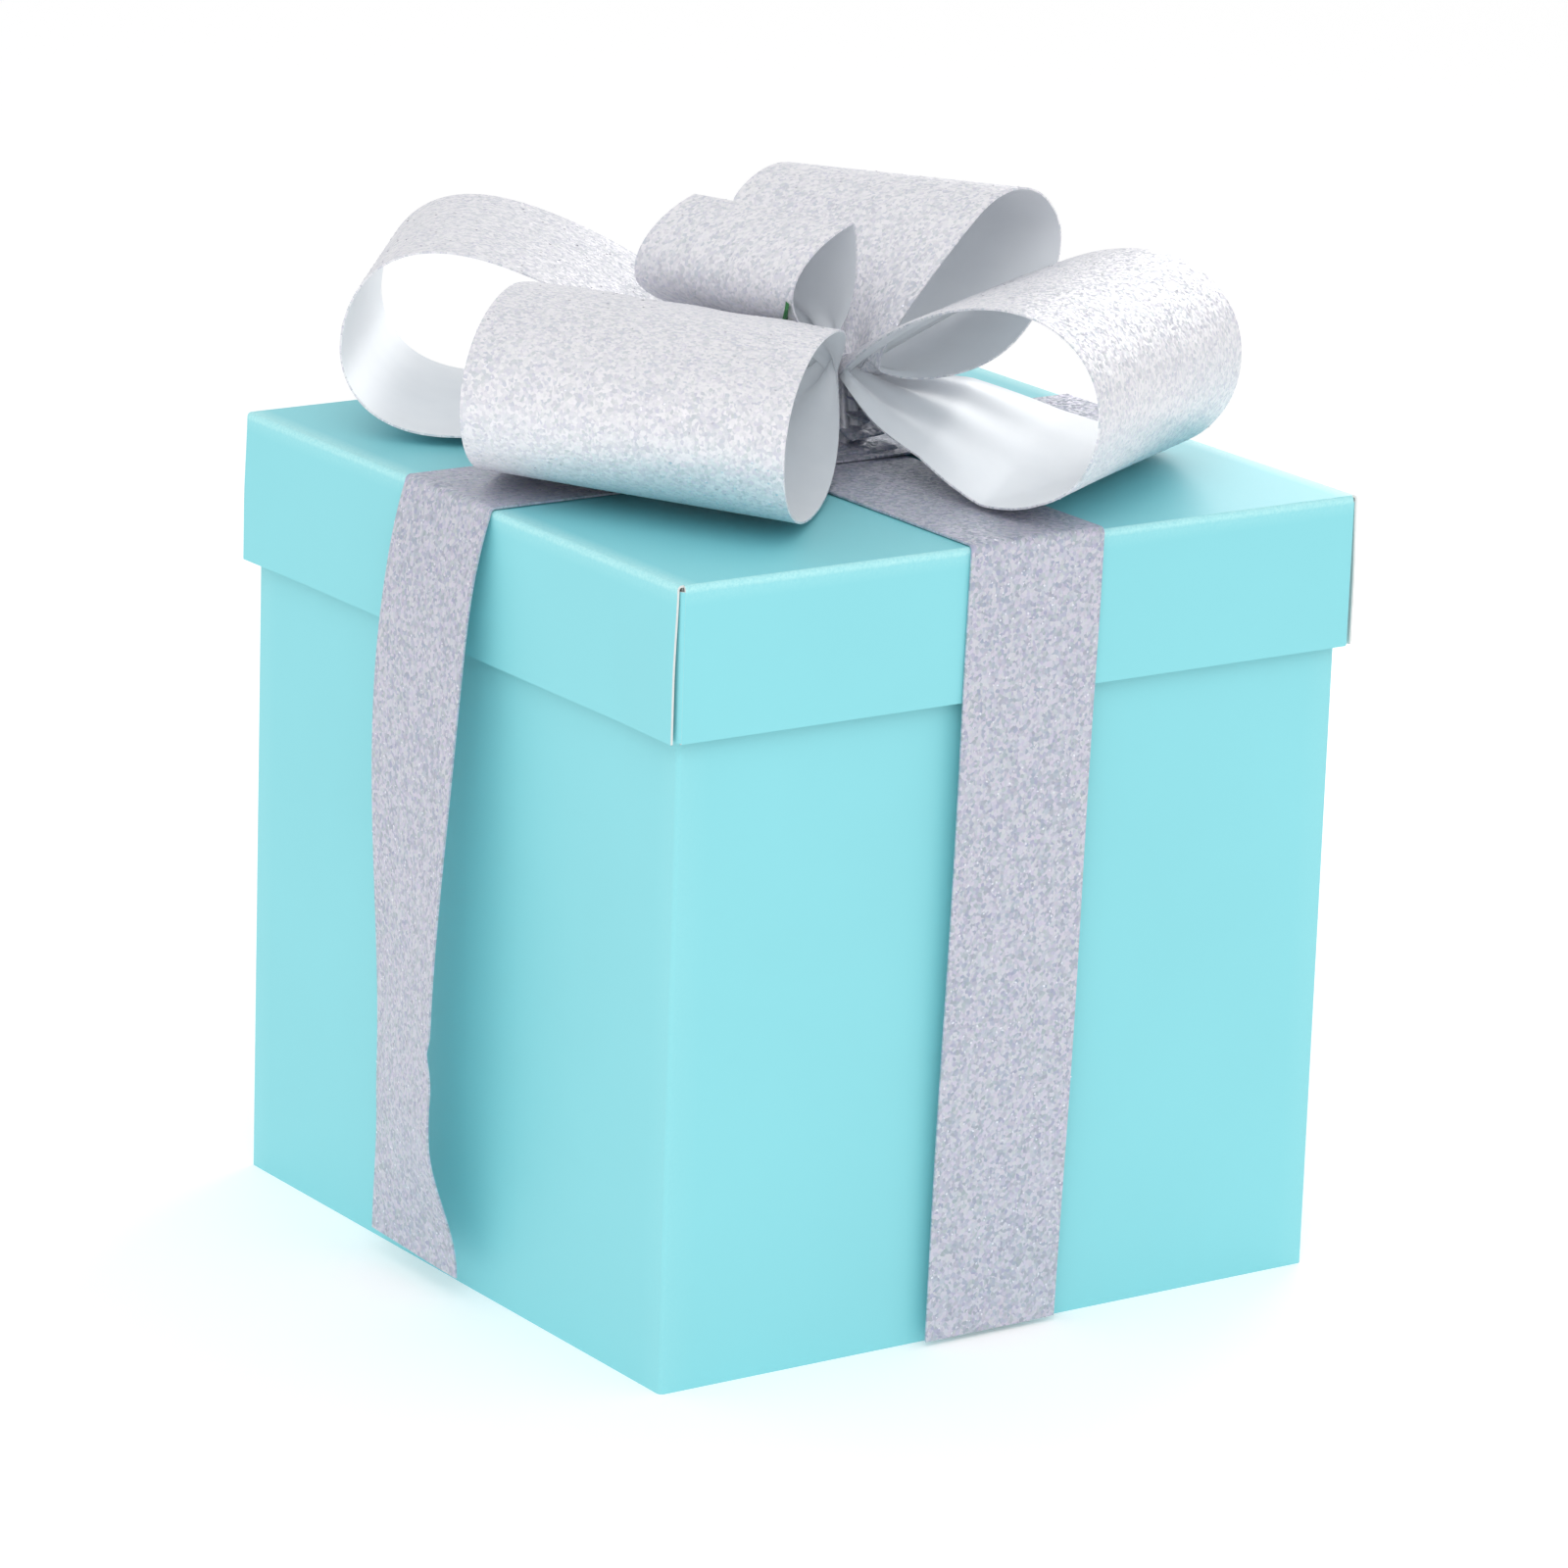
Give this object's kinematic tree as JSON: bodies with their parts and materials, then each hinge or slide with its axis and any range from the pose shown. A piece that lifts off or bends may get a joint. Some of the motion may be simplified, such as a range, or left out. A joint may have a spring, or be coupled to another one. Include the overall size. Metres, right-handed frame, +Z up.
{
  "type": "gift box",
  "caption": "Cube-shaped folding paperboard gift box with a lift-off lid, a ribbon crossed over it with hanging ends, and a looped bow on top.",
  "frame": {"origin": "centre of the base's underside, on the surface that the box stands on", "axes": "+Z up; -Y is the front face with the ribbon lying flat; +X to the right seen from the front"},
  "size_m": [0.2255, 0.2517, 0.2708],
  "materials": {
    "aqua_board": "matt coated paperboard, robin's-egg aqua",
    "white_board": "uncoated white paperboard, the inside of the blank",
    "glitter_ribbon": "silver glitter ribbon, satin back",
    "tie_green": "green covered wire"
  },
  "bodies": {
    "base": {"base_wall_front": "aqua_board", "base_wall_back": "aqua_board", "base_wall_left": "aqua_board", "base_wall_right": "aqua_board", "base_glue_flap": "white_board", "base_floor_flap_front": "white_board", "base_floor_flap_back": "white_board", "base_floor_flap_left": "white_board", "base_floor_flap_right": "white_board"},
    "lid": {"lid_top_panel": "aqua_board", "lid_skirt_front": "aqua_board", "lid_skirt_back": "aqua_board", "lid_skirt_left": "aqua_board", "lid_skirt_right": "aqua_board", "lid_liner_left": "white_board", "lid_liner_right": "white_board", "lid_corner_tab_front_left": "white_board", "lid_corner_tab_front_right": "white_board", "lid_corner_tab_back_left": "white_board", "lid_corner_tab_back_right": "white_board"},
    "harness": {"ribbon_band_front_back": "glitter_ribbon", "ribbon_band_left_right": "glitter_ribbon", "bow_gather": "glitter_ribbon", "bow_loop_left": "glitter_ribbon", "bow_loop_back_left": "glitter_ribbon", "bow_loop_front": "glitter_ribbon", "bow_loop_back_right": "glitter_ribbon", "bow_loop_upright": "glitter_ribbon", "twist_tie": "tie_green"},
    "fall_front": {"ribbon_fall_front": "glitter_ribbon"},
    "fall_right": {"ribbon_fall_right": "glitter_ribbon"},
    "fall_back": {"ribbon_fall_back": "glitter_ribbon"},
    "fall_left": {"ribbon_fall_left": "glitter_ribbon"}
  },
  "joints": [
    {"name": "lid_lift", "type": "slide", "parent": "base", "child": "lid", "axis": [0, 0, 1], "range_m": [0, 0.26]},
    {"name": "ribbon_lift", "type": "slide", "parent": "lid", "child": "harness", "axis": [0, 0, 1], "range_m": [0, 0.24]},
    {"name": "fall_front_fold", "type": "hinge", "parent": "harness", "child": "fall_front", "pos_m": [0, -0.1031, 0.2059], "axis": [-1, 0, 0], "range_deg": [0, 85]},
    {"name": "fall_right_fold", "type": "hinge", "parent": "harness", "child": "fall_right", "pos_m": [0.1031, 0, 0.2059], "axis": [0, -1, 0], "range_deg": [0, 85]},
    {"name": "fall_back_fold", "type": "hinge", "parent": "harness", "child": "fall_back", "pos_m": [0, 0.1031, 0.2059], "axis": [1, 0, 0], "range_deg": [0, 85]},
    {"name": "fall_left_fold", "type": "hinge", "parent": "harness", "child": "fall_left", "pos_m": [-0.1031, 0, 0.2059], "axis": [0, 1, 0], "range_deg": [0, 85]}
  ]
}
